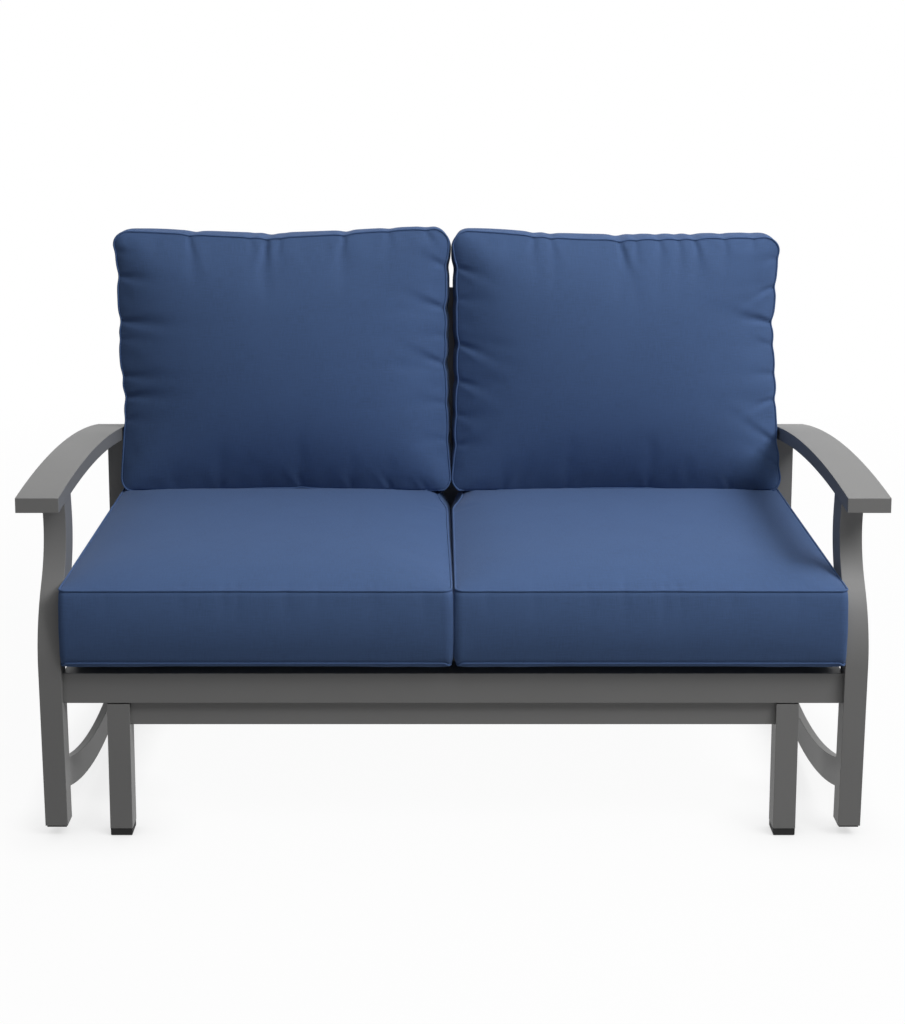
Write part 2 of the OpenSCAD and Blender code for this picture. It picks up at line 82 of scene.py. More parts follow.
COAT_GREYS = ((0.174, 0.173, 0.171), (0.189, 0.188, 0.186))
COAT_SPECK = (0.215, 0.214, 0.211)
# Paler coat over the edges: partly where the coat thins, partly a painted highlight along them
COAT_EDGE_WEAR_AND_HIGHLIGHT = (0.33, 0.33, 0.325)
ZINC_GREYS = ((0.46, 0.47, 0.48), (0.36, 0.37, 0.385))
ZINC_EDGE = (0.62, 0.62, 0.62)
BUSH_BLACK = (0.035, 0.035, 0.037)
FOOT_BLACK = (0.010, 0.010, 0.010)
CLOTH_BLUE = (0.0580, 0.1070, 0.2340)
CLOTH_SHEEN = (0.62, 0.74, 1.0)
WARP_PITCH = 0.0011
WEFT_PITCH = 0.0012
# How far apart a wave texture's bands lie at a scale of 1
WAVE_PITCH = 0.314

# ---- the cushions' sizes ---------------------------------------------------------------------

RECLINE = math.radians(7.4)
# Spacing of a cover's grid while it is blown up, and into how many each space is cut later
GRID_STEP = 0.009
GRID_PARTS = 2
SIM_FRAMES = 20
PIPING_RADIUS = 0.0017
PIPING_LIFT = 0.35
PIPING_SIDES = 8
# How deep a fold presses into its panel and the band and nicks its seam, as shares of its depth
FOLD_DEPTH = 1.8
BAND_DEPTH = 0.8
NICK = 0.9
# A fold's width at its seam and what its length adds to it, as shares of its width
FOLD_WIDTHS = (0.34, 0.8)
# How fast a fold fades along its panel and down the band, and how soon it starts
FOLD_FADE = 1.8
FOLD_START = 0.004
BAND_FADE = 4.0
BAND_START = 1 / 12
# Within what distance of a corner one side's bulge gives way to the next one's
SIDE_BLEND = 0.012
SIDE_POWER = 3
# The lowest that a seat cushion reaches, and how far its cover's corners stay inside the CAD
# solid's front and back
SEAT_FLOOR = 0.2784
SEAT_END_GAPS = (0.001, 0.002)
# How far to the left and right the cushions of either side may reach
ROOM = {"left": (-0.6056, 0.0007), "right": (0.0009, 0.6056)}
# How far off the back frame the back cushions lie, and between which lengths up along it
BACK_FLOOR = 0.0006
BACK_ENDS = (0.1310, 0.6060)
# (height, how far the arms and uprights let a back cushion reach to the side)
BACK_ROOM = ((0.455, 0.6098), (0.485, 0.6038), (0.575, 0.6038), (0.625, 0.6338))
# The height at which back cushions rest on seat cushions, and half the gap that is left there.
# The contact starts behind the back cushions' foremost point, and opens in front of its start.
REST_HEIGHT = 0.4140
REST_GAP = 0.0003
REST_START = 0.016
REST_OPENING = 0.45

# Each cushion lies in a frame of its own: x runs to the right, v from its lower or front edge to
# its upper or back one, and w from its underside or back to its crown.
#   seams            heights in w of the back seam and the front seam
#   taper            how much further out the front panel stands at its top than at its foot
#   corner           radius of its corners
#   back_pull        share of the front seam's pulls that the back seam takes
#   follow           power by which the band takes on those pulls, from the back seam forward
#   roll             height and width of the front panel's quick rise from its seam
#   crown, arcs      height of its broad crown, and over which shares of the width and of the
#                    height the crown falls away at the start and the end
#   back_roll, back_crown  the same for the back panel
#   bulges           how far the band swells out on each side
#   pulls            how far a side's front seam stands out from the straight, as (share of the
#                    side, distance)
#   droops           how far the front panel sinks along a side, in the same way
#   folds            (share of the side, length, width, depth, slant)
#   pressure, growth, cap  the cloth's filling, how much it grows and how far it may move
SEAT = {
    "seams": (0.2918, 0.4064), "taper": 0.0, "corner": 0.011,
    "back_pull": 0.0, "follow": 3,
    "roll": (0.014, 0.020), "crown": 0.009, "arcs": ((0.45, 0.45), (0.30, 0.50)),
    "back_roll": (0.0136, 0.004), "back_crown": 0.010,
    "bulges": {"left": 0.004, "right": 0.004, "bottom": 0.008, "top": 0.003},
    "pressure": 3.0, "growth": 0.0, "cap": 0.006,
}
SEAT_FRONT = ((0, 0), (0.5, -0.001), (1, 0))
SEAT_DROOP = ((0, 0), (0.68, 0), (0.90, 0.006), (1, 0.003))
# How fast a droop fades away from its side
DROOP_WIDTH = 0.035
SEATS = {
    "left": {
        **SEAT,
        "x": (-0.6052, -0.0030),
        "bulges": {**SEAT["bulges"], "right": 0.009},
        "pulls": {
            "bottom": SEAT_FRONT,
            "right": ((0, 0), (0.74, -0.005), (0.95, -0.020), (1, -0.018)),
        },
        "droops": {"right": SEAT_DROOP},
        "folds": {
            "bottom": (
                (0.12, 0.019, 0.009, 0.0005, 0.1), (0.31, 0.025, 0.010, 0.0006, -0.1),
                (0.42, 0.031, 0.011, 0.0009, 0.1), (0.455, 0.028, 0.010, 0.0008, -0.2),
                (0.58, 0.034, 0.012, 0.0009, 0.2), (0.66, 0.025, 0.010, 0.0006, 0.0),
                (0.80, 0.028, 0.012, 0.0006, -0.1), (0.93, 0.019, 0.010, 0.0007, -0.3),
            ),
        },
    },
    "right": {
        **SEAT,
        "x": (0.0050, 0.6052),
        "bulges": {**SEAT["bulges"], "left": 0.009},
        "pulls": {
            "bottom": SEAT_FRONT,
            "left": ((0, 0.001), (0.74, 0.001), (0.95, -0.017), (1, -0.015)),
        },
        "droops": {"left": SEAT_DROOP},
        "folds": {
            "bottom": (
                (0.08, 0.019, 0.009, 0.0006, 0.2), (0.20, 0.025, 0.010, 0.0006, 0.0),
                (0.34, 0.025, 0.010, 0.0007, -0.2), (0.43, 0.034, 0.010, 0.0009, 0.1),
                (0.53, 0.037, 0.012, 0.0011, 0.4), (0.57, 0.031, 0.010, 0.0008, -0.3),
                (0.70, 0.022, 0.010, 0.0005, 0.0), (0.87, 0.019, 0.010, 0.0006, 0.2),
            ),
        },
    },
}
BACK = {
    "seams": (0.0140, 0.1000), "taper": 0.018, "corner": 0.030,
    "back_pull": 0.5, "follow": 1, "droops": {},
    "roll": (0.011, 0.014), "crown": 0.042, "arcs": ((0.50, 0.44), (0.44, 0.54)),
    "back_roll": (0.004, 0.010), "back_crown": 0.012,
    "bulges": {"left": 0.004, "right": 0.004, "bottom": 0.002, "top": 0.006},
    "pressure": 4.0, "growth": 0.004, "cap": 0.008,
}
BACKS = {
    "left": {
        **BACK,
        "x": (-0.6060, -0.0030),
        "pulls": {
            "left": ((0, 0.000), (0.32, -0.0075), (0.56, 0.0005), (0.84, 0.0035), (1, 0.013)),
            "right": ((0, 0.003), (0.2, -0.003), (0.5, -0.007), (0.8, -0.006), (1, 0.000)),
            "top": ((0, 0.003), (0.45, -0.008), (1, 0.008)),
            "bottom": ((0, 0.004), (0.5, -0.006), (1, 0.003)),
        },
        "folds": {
            "top": (
                (0.23, 0.050, 0.011, 0.0026, 0.1), (0.41, 0.025, 0.010, 0.0018, 0.3),
                (0.46, 0.068, 0.014, 0.0042, -0.15), (0.50, 0.037, 0.010, 0.0021, -0.2),
                (0.69, 0.046, 0.012, 0.0034, -0.2), (0.82, 0.025, 0.011, 0.0016, 0.1),
                (0.93, 0.031, 0.012, 0.0021, 0.5),
            ),
            "left": (
                (0.92, 0.031, 0.012, 0.0018, 0.1), (0.83, 0.053, 0.013, 0.0034, -0.1),
                (0.66, 0.074, 0.014, 0.0042, -0.05), (0.59, 0.031, 0.010, 0.0018, 0.1),
                (0.45, 0.053, 0.012, 0.0029, 0.0), (0.37, 0.065, 0.013, 0.0037, 0.1),
                (0.28, 0.031, 0.012, 0.0018, 0.2),
            ),
            "right": (
                (0.86, 0.043, 0.012, 0.0032, 0.4), (0.70, 0.059, 0.013, 0.0040, 0.35),
                (0.60, 0.025, 0.010, 0.0016, 0.0), (0.49, 0.059, 0.013, 0.0038, 0.4),
                (0.34, 0.037, 0.012, 0.0019, 0.2), (0.20, 0.031, 0.012, 0.0016, 0.2),
            ),
            "bottom": (
                (0.30, 0.022, 0.012, 0.0013, 0.12), (0.55, 0.037, 0.012, 0.0020, -0.36),
                (0.70, 0.026, 0.010, 0.0013, -0.30), (0.82, 0.039, 0.012, 0.0022, -0.48),
                (0.93, 0.030, 0.010, 0.0017, -0.54),
            ),
        },
    },
    "right": {
        **BACK,
        "x": (0.0050, 0.6040),
        "pulls": {
            "right": ((0, 0.003), (0.38, -0.008), (0.64, -0.014), (0.84, -0.009), (1, -0.002)),
            "left": ((0, 0.003), (0.2, -0.003), (0.5, -0.007), (0.8, -0.006), (1, 0.002)),
            "top": ((0, 0.004), (0.45, -0.012), (1, -0.008)),
            "bottom": ((0, 0.003), (0.5, -0.006), (1, 0.004)),
        },
        "folds": {
            "top": (
                (0.25, 0.037, 0.012, 0.0024, -0.2), (0.30, 0.034, 0.010, 0.0024, 0.2),
                (0.51, 0.068, 0.013, 0.0043, 0.25), (0.56, 0.037, 0.010, 0.0021, 0.0),
                (0.63, 0.031, 0.010, 0.0024, 0.2), (0.69, 0.034, 0.010, 0.0027, 0.1),
                (0.74, 0.050, 0.011, 0.0035, 0.2), (0.83, 0.028, 0.010, 0.0021, 0.1),
                (0.92, 0.025, 0.011, 0.0018, -0.3),
            ),
            "right": (
                (0.92, 0.028, 0.011, 0.0018, -0.2), (0.81, 0.056, 0.012, 0.0037, -0.45),
                (0.67, 0.077, 0.013, 0.0048, 0.2), (0.58, 0.037, 0.011, 0.0021, 0.3),
                (0.47, 0.037, 0.012, 0.0022, 0.0), (0.37, 0.056, 0.012, 0.0030, -0.3),
                (0.20, 0.065, 0.015, 0.0035, 0.6), (0.11, 0.043, 0.012, 0.0024, 0.6),
            ),
            "left": (
                (0.86, 0.050, 0.013, 0.0035, -0.3), (0.74, 0.025, 0.010, 0.0016, 0.0),
                (0.57, 0.065, 0.013, 0.0040, -0.35), (0.43, 0.053, 0.012, 0.0032, -0.3),
                (0.30, 0.031, 0.012, 0.0019, -0.2), (0.18, 0.037, 0.012, 0.0021, 0.3),
            ),
            "bottom": (
                (0.15, 0.030, 0.011, 0.0016, 0.36), (0.35, 0.022, 0.010, 0.0011, 0.12),
                (0.60, 0.026, 0.010, 0.0013, -0.18), (0.85, 0.035, 0.011, 0.0017, -0.42),
            ),
        },
    },
}

# ---- node helpers ----------------------------------------------------------------------------


def new_material(name):
    """An empty node material and its shader: (node tree, Principled shader)."""
    material = bpy.data.materials.new(name)
    material.use_nodes = True
    tree = material.node_tree
    tree.nodes.clear()
    output = tree.nodes.new("ShaderNodeOutputMaterial")
    shader = tree.nodes.new("ShaderNodeBsdfPrincipled")
    tree.links.new(shader.outputs["BSDF"], output.inputs["Surface"])
    return material, tree, shader


def feed(tree, value, socket):
    """Links an output to a socket, or sets the socket to a plain value."""
    if isinstance(value, bpy.types.NodeSocket):
        tree.links.new(value, socket)
    else:
        socket.default_value = value


def maths(tree, operation, *values):
    node = tree.nodes.new("ShaderNodeMath")
    node.operation = operation
    for value, socket in zip(values, node.inputs):
        feed(tree, value, socket)
    return node.outputs[0]


def scaled(tree, vector, scale):
    """The vector with each axis multiplied by scale."""
    node = tree.nodes.new("ShaderNodeMapping")
    node.inputs["Scale"].default_value = scale
    tree.links.new(vector, node.inputs["Vector"])
    return node.outputs[0]


def noise(tree, vector, scale, detail=2.0, roughness=0.5):
    node = tree.nodes.new("ShaderNodeTexNoise")
    node.inputs["Scale"].default_value = scale
    node.inputs["Detail"].default_value = detail
    node.inputs["Roughness"].default_value = roughness
    tree.links.new(vector, node.inputs["Vector"])
    return node.outputs["Fac"]


def spread(tree, value, low, high, new_low, new_high):
    """Maps low..high to new_low..new_high, held at both ends."""
    node = tree.nodes.new("ShaderNodeMapRange")
    for name, number in zip(
        ("From Min", "From Max", "To Min", "To Max"), (low, high, new_low, new_high)
    ):
        node.inputs[name].default_value = number
    tree.links.new(value, node.inputs["Value"])
    return node.outputs[0]


def blended(tree, share, first, second):
    """Two colours mixed by a share."""
    node = tree.nodes.new("ShaderNodeMix")
    node.data_type = "RGBA"
    feed(tree, share, node.inputs[0])
    feed(tree, first, node.inputs[6])
    feed(tree, second, node.inputs[7])
    return node.outputs[2]


def bumped(tree, height, strength, distance, normal=None):
    node = tree.nodes.new("ShaderNodeBump")
    node.inputs["Strength"].default_value = strength
    node.inputs["Distance"].default_value = distance
    tree.links.new(height, node.inputs["Height"])
    if normal is not None:
        tree.links.new(normal, node.inputs["Normal"])
    return node.outputs[0]


def bevelled(tree, radius):
    """A normal that rounds the sharp edges of a CAD solid, and how near to such an edge it is."""
    bevel = tree.nodes.new("ShaderNodeBevel")
    bevel.samples = 4
    bevel.inputs["Radius"].default_value = radius
    face = tree.nodes.new("ShaderNodeNewGeometry")
    dot = tree.nodes.new("ShaderNodeVectorMath")
    dot.operation = "DOT_PRODUCT"
    tree.links.new(bevel.outputs[0], dot.inputs[0])
    tree.links.new(face.outputs["True Normal"], dot.inputs[1])
    return bevel.outputs[0], spread(tree, dot.outputs["Value"], 0.80, 0.995, 1.0, 0.0)


def coordinates(tree, kind):
    return tree.nodes.new("ShaderNodeTexCoord").outputs[kind]


def opaque(colour, factor=1.0):
    """A node's colour, made brighter by a factor."""
    return (*[c * factor for c in colour], 1)


# ---- materials -------------------------------------------------------------------------------


def powder_coat():
    """Satin charcoal powder coat with a fine orange peel, paler over its edges: partly where it thins,
    partly a painted highlight.
    """
    material, tree, shader = new_material("powder_coat")
    place = coordinates(tree, "Object")
    normal, edge = bevelled(tree, 0.0016)
    cloud = spread(tree, noise(tree, place, 6.0, 3.0), 0.3, 0.7, 0.0, 1.0)
    grain = noise(tree, place, 900.0, 2.0, 0.6)
    body = blended(tree, cloud, *[opaque(grey) for grey in COAT_GREYS])
    speck = spread(tree, grain, 0.35, 0.75, 0.0, 0.35)
    body = blended(tree, speck, body, opaque(COAT_SPECK))
    # Paler over the edges: partly the thinner coat, partly a painted highlight along them
    feed(tree, blended(tree, maths(tree, "MULTIPLY", edge, 0.55), body, opaque(COAT_EDGE_WEAR_AND_HIGHLIGHT)),
         shader.inputs["Base Color"])
    feed(tree, spread(tree, cloud, 0.0, 1.0, 0.43, 0.49), shader.inputs["Roughness"])
    shader.inputs["Specular IOR Level"].default_value = 0.50
    feed(tree, bumped(tree, grain, 0.10, 0.0004, normal), shader.inputs["Normal"])
    return material


def moulded(name, colour, roughness, pitch):
    """Matt moulded plastic or rubber with a fine texture, rubbed paler on its edges."""
    material, tree, shader = new_material(name)
    place = coordinates(tree, "Object")
    normal, edge = bevelled(tree, 0.0010)
    grain = noise(tree, place, 1.0 / pitch, 3.0, 0.6)
    dark = opaque(colour)
    pale = (*[c * 1.7 + 0.01 for c in colour], 1)
    dusty = spread(tree, noise(tree, place, 25.0, 4.0), 0.45, 0.75, 0.0, 0.35)
    body = blended(tree, dusty, dark, pale)
    feed(tree, blended(tree, maths(tree, "MULTIPLY", edge, 0.5), body, pale),
         shader.inputs["Base Color"])
    feed(tree, spread(tree, grain, 0.3, 0.7, roughness - 0.06, roughness + 0.06),
         shader.inputs["Roughness"])
    shader.inputs["Specular IOR Level"].default_value = 0.35
    feed(tree, bumped(tree, grain, 0.35, 0.0004, normal), shader.inputs["Normal"])
    return material


def zinc():
    """Zinc-plated steel: drawn fine lines, a faint cloudy bloom and worn edges."""
    material, tree, shader = new_material("zinc_plate")
    place = coordinates(tree, "Object")
    normal, edge = bevelled(tree, 0.0008)
    drawn = noise(tree, scaled(tree, place, (60, 60, 2500)), 1.0, 3.0, 0.6)
    bloom = spread(tree, noise(tree, place, 60.0, 4.0, 0.6), 0.35, 0.7, 0.0, 1.0)
    body = blended(tree, bloom, *[opaque(grey) for grey in ZINC_GREYS])
    feed(tree, blended(tree, maths(tree, "MULTIPLY", edge, 0.6), body, opaque(ZINC_EDGE)),
         shader.inputs["Base Color"])
    shader.inputs["Metallic"].default_value = 0.9
    feed(tree, spread(tree, bloom, 0.0, 1.0, 0.30, 0.46), shader.inputs["Roughness"])
    feed(tree, bumped(tree, drawn, 0.12, 0.0002, normal), shader.inputs["Normal"])
    return material


def woven(name, tone=1.0):
    """Plain-woven outdoor cloth. The weave follows the cover's own length and width."""
    material, tree, shader = new_material(name)
    cloth = coordinates(tree, "UV")
    place = coordinates(tree, "Object")

    def thread(across, pitch):
        """Round threads that run along one axis of the cloth, pitch apart."""
        wave = tree.nodes.new("ShaderNodeTexWave")
        wave.wave_type = "BANDS"
        wave.bands_direction = "X" if across else "Y"
        wave.wave_profile = "SIN"
        wave.inputs["Scale"].default_value = WAVE_PITCH / pitch
        wave.inputs["Distortion"].default_value = 0.4
        wave.inputs["Detail"].default_value = 1.0
        tree.links.new(cloth, wave.inputs["Vector"])
        return wave.outputs["Fac"]

    warp, weft = thread(True, WARP_PITCH), thread(False, WEFT_PITCH)
    slub_warp = noise(tree, scaled(tree, cloth, (620, 45, 1)), 1.0, 2.0, 0.55)
    slub_weft = noise(tree, scaled(tree, cloth, (45, 560, 1)), 1.0, 2.0, 0.55)
    slub = maths(tree, "ADD", slub_warp, slub_weft)
    mottle = noise(tree, place, 14.0, 3.0, 0.55)
    worn, pale, paler, crest = [opaque(CLOTH_BLUE, factor * tone) for factor in (0.87, 1.10, 1.13, 1.5)]
    body = blended(tree, spread(tree, slub, 0.72, 1.28, 0.0, 1.0), worn, paler)
    body = blended(tree, spread(tree, mottle, 0.3, 0.7, 0.0, 0.5), body, pale)
    crossing = maths(tree, "MULTIPLY", warp, weft)
    feed(tree, blended(tree, maths(tree, "MULTIPLY", crossing, 0.22), body, crest),
         shader.inputs["Base Color"])
    feed(tree, spread(tree, slub, 0.7, 1.3, 0.80, 0.92), shader.inputs["Roughness"])
    shader.inputs["Specular IOR Level"].default_value = 0.25
    shader.inputs["Sheen Weight"].default_value = 0.12
    shader.inputs["Sheen Roughness"].default_value = 0.45
    shader.inputs["Sheen Tint"].default_value = opaque(CLOTH_SHEEN)
    weave = maths(tree, "ADD", maths(tree, "MAXIMUM", warp, weft), maths(tree, "MULTIPLY", slub, 0.8))
    feed(tree, bumped(tree, weave, 0.30, 0.0003), shader.inputs["Normal"])
    return material


def seen_directly(tree):
    """1 for rays from the camera and for what gloss or glass shows, 0 for light on the object."""
    path = tree.nodes.new("ShaderNodeLightPath")
    seen = maths(tree, "ADD", path.outputs["Is Camera Ray"], path.outputs["Is Glossy Ray"])
    seen = maths(tree, "ADD", seen, path.outputs["Is Transmission Ray"])
    return maths(tree, "MINIMUM", seen, 1.0)


def floor_material():
    """Pale floor that fades to the white surround but keeps some of the glider's shadow."""
    material = bpy.data.materials.new("studio_floor")
    material.use_nodes = True
    tree = material.node_tree
    tree.nodes.clear()
    output = tree.nodes.new("ShaderNodeOutputMaterial")
    matt = tree.nodes.new("ShaderNodeBsdfDiffuse")
    seen = seen_directly(tree)
    fleck = noise(tree, coordinates(tree, "Object"), 8.0, 3.0)
    lit = blended(tree, fleck, *[opaque((shade,) * 3) for shade in FLOOR_LIT])
    feed(tree, blended(tree, seen, lit, opaque((FLOOR_SEEN,) * 3)), matt.inputs["Color"])
    white = tree.nodes.new("ShaderNodeEmission")
    mix = tree.nodes.new("ShaderNodeMixShader")
    contact = tree.nodes.new("ShaderNodeAmbientOcclusion")
    contact.inputs["Distance"].default_value = CONTACT_REACH
    hidden = maths(tree, "SUBTRACT", 1.0, contact.outputs["AO"])
    near = maths(tree, "MULTIPLY", hidden, CONTACT_SHADE)
    away = tree.nodes.new("ShaderNodeVectorMath")
    away.operation = "LENGTH"
    tree.links.new(coordinates(tree, "Object"), away.inputs[0])
    far = spread(tree, away.outputs["Value"], *FLOOR_FADE, FLOOR_SHADE, 0.0)
    shade = maths(tree, "ADD", near, far)
    share = maths(tree, "MULTIPLY", seen, maths(tree, "SUBTRACT", 1.0, shade))
    tree.links.new(share, mix.inputs[0])
    tree.links.new(matt.outputs[0], mix.inputs[1])
    tree.links.new(white.outputs[0], mix.inputs[2])
    tree.links.new(mix.outputs[0], output.inputs["Surface"])
    return material


# ---- stage -----------------------------------------------------------------------------------


def add_camera():
    data = bpy.data.cameras.new("photo_camera")
    data.sensor_fit = "HORIZONTAL"
    data.sensor_width = 36.0
    data.lens = CAMERA_LENS
    data.shift_x, data.shift_y = CAMERA_SHIFT
    camera = bpy.data.objects.new("photo_camera", data)
    camera.location = CAMERA_PLACE
    camera.rotation_euler = (math.radians(90 - CAMERA_PITCH), 0, 0)
    bpy.context.scene.collection.objects.link(camera)
    bpy.context.scene.camera = camera


def add_lamp(name, place, aim, size, level):
    """A soft square lamp; level is how bright it makes a white surface that faces it at its aim."""
    place, aim = Vector(place), Vector(aim)
    away = (place - aim).length
    data = bpy.data.lights.new(name, "AREA")
    data.shape = "SQUARE"
    data.size = size
    data.energy = level * (math.pi * away) ** 2
    lamp = bpy.data.objects.new(name, data)
    lamp.location = place
    lamp.rotation_euler = (place - aim).to_track_quat("Z", "Y").to_euler()
    bpy.context.scene.collection.objects.link(lamp)


def add_world():
    world = bpy.data.worlds.new("studio")
    bpy.context.scene.world = world
    world.use_nodes = True
    tree = world.node_tree
    tree.nodes.clear()
    output = tree.nodes.new("ShaderNodeOutputWorld")
    light = tree.nodes.new("ShaderNodeBackground")
    light.inputs["Strength"].default_value = SKY_LEVEL
    light.inputs["Color"].default_value = (1, 1, 1, 1)
    white = tree.nodes.new("ShaderNodeBackground")
    white.inputs["Color"].default_value = (1, 1, 1, 1)
    mix = tree.nodes.new("ShaderNodeMixShader")
    tree.links.new(seen_directly(tree), mix.inputs[0])
    tree.links.new(light.outputs[0], mix.inputs[1])
    tree.links.new(white.outputs[0], mix.inputs[2])
    tree.links.new(mix.outputs[0], output.inputs["Surface"])


def add_floor():
    square = ((-1, -1), (1, -1), (1, 1), (-1, 1))
    corners = [(x * FLOOR_HALF, y * FLOOR_HALF, 0.0) for x, y in square]
    mesh = bpy.data.meshes.new("floor")
    mesh.from_pydata(corners, [], [(0, 1, 2, 3)])
    floor = bpy.data.objects.new("floor", mesh)
    floor.data.materials.append(floor_material())
    bpy.context.scene.collection.objects.link(floor)


# ---- cushion covers --------------------------------------------------------------------------


def grid_lines(length, corner, step, parts):
    """Where a panel's grid lines cross one side, each space between them cut into parts."""
    bends = max(3, round(corner / step * 1.5))
    runs = round((length - 2 * corner) / step)
    coarse = np.concatenate([
        np.linspace(0, corner, bends + 1),
        np.linspace(corner, length - corner, runs + 1)[1:],
        np.linspace(length - corner, length, bends + 1)[1:],
    ])
    return np.interp(np.arange((len(coarse) - 1) * parts + 1) / parts, np.arange(len(coarse)), coarse)


def rounded(x, v, width, height, corner):
    """Draws a rectangle's grid in to quarter circles at its corners."""
    into_x = np.maximum(0, np.maximum(corner - x, x - (width - corner))) / corner
    into_v = np.maximum(0, np.maximum(corner - v, v - (height - corner))) / corner
    new_x = into_x * np.sqrt(1 - into_v ** 2 / 2) * corner
    new_v = into_v * np.sqrt(1 - into_x ** 2 / 2) * corner
    x = np.where(x < corner, corner - new_x, np.where(x > width - corner, width - corner + new_x, x))
    v = np.where(v < corner, corner - new_v, np.where(v > height - corner, height - corner + new_v, v))
    return x, v


def eased(table, share):
    """Reads a table of (share, value) with smooth steps between its entries."""
    shares, values = np.array(table).T
    spans = np.clip(np.searchsorted(shares, share, side="right") - 1, 0, len(shares) - 2)
    t = np.clip((share - shares[spans]) / (shares[spans + 1] - shares[spans]), 0, 1)
    t = t * t * (3 - 2 * t)
    return values[spans] * (1 - t) + values[spans + 1] * t


def swell(share, start, end):
    """1 over the middle of a side, falling as arcs to 0 over its first and its last share."""
    beyond = np.maximum((start - share) / start, (share - 1 + end) / end)
    return 1 - np.maximum(0, beyond) ** 2


def fold_profile(q):
    """A fold's cross-section: a furrow with a low ridge on either side."""
    return (1 - 1.2 * q ** 2) * np.exp(-q ** 2)


def smoothed(field, axis, closed=False):
    """Takes the ripples of one grid space out of a field, and keeps its wider folds."""
    before, after = np.roll(field, 1, axis), np.roll(field, -1, axis)
    soft = (before + 2 * field + after) / 4
    if not closed:
        ends = [slice(None)] * field.ndim
        for end in (0, -1):
            ends[axis] = end
            soft[tuple(ends)] = field[tuple(ends)]
    return soft


def finer(count, parts, closed=False):
    """The matrix that reads a smooth curve through count points, parts times as often."""
    spans = count if closed else count - 1
    places = np.arange(spans * parts + (0 if closed else 1)) / parts
    rows = np.zeros((len(places), count))
    whole = np.minimum(np.floor(places).astype(int), spans - 1)
    t = places - whole
    weights = (
        (-t + 2 * t ** 2 - t ** 3) / 2, (2 - 5 * t ** 2 + 3 * t ** 3) / 2,
        (t + 4 * t ** 2 - 3 * t ** 3) / 2, (t ** 3 - t ** 2) / 2)
    for offset, weight in zip((-1, 0, 1, 2), weights):
        column = (whole + offset) % count if closed else np.clip(whole + offset, 0, count - 1)
        np.add.at(rows, (np.arange(len(places)), column), weight)
    return rows


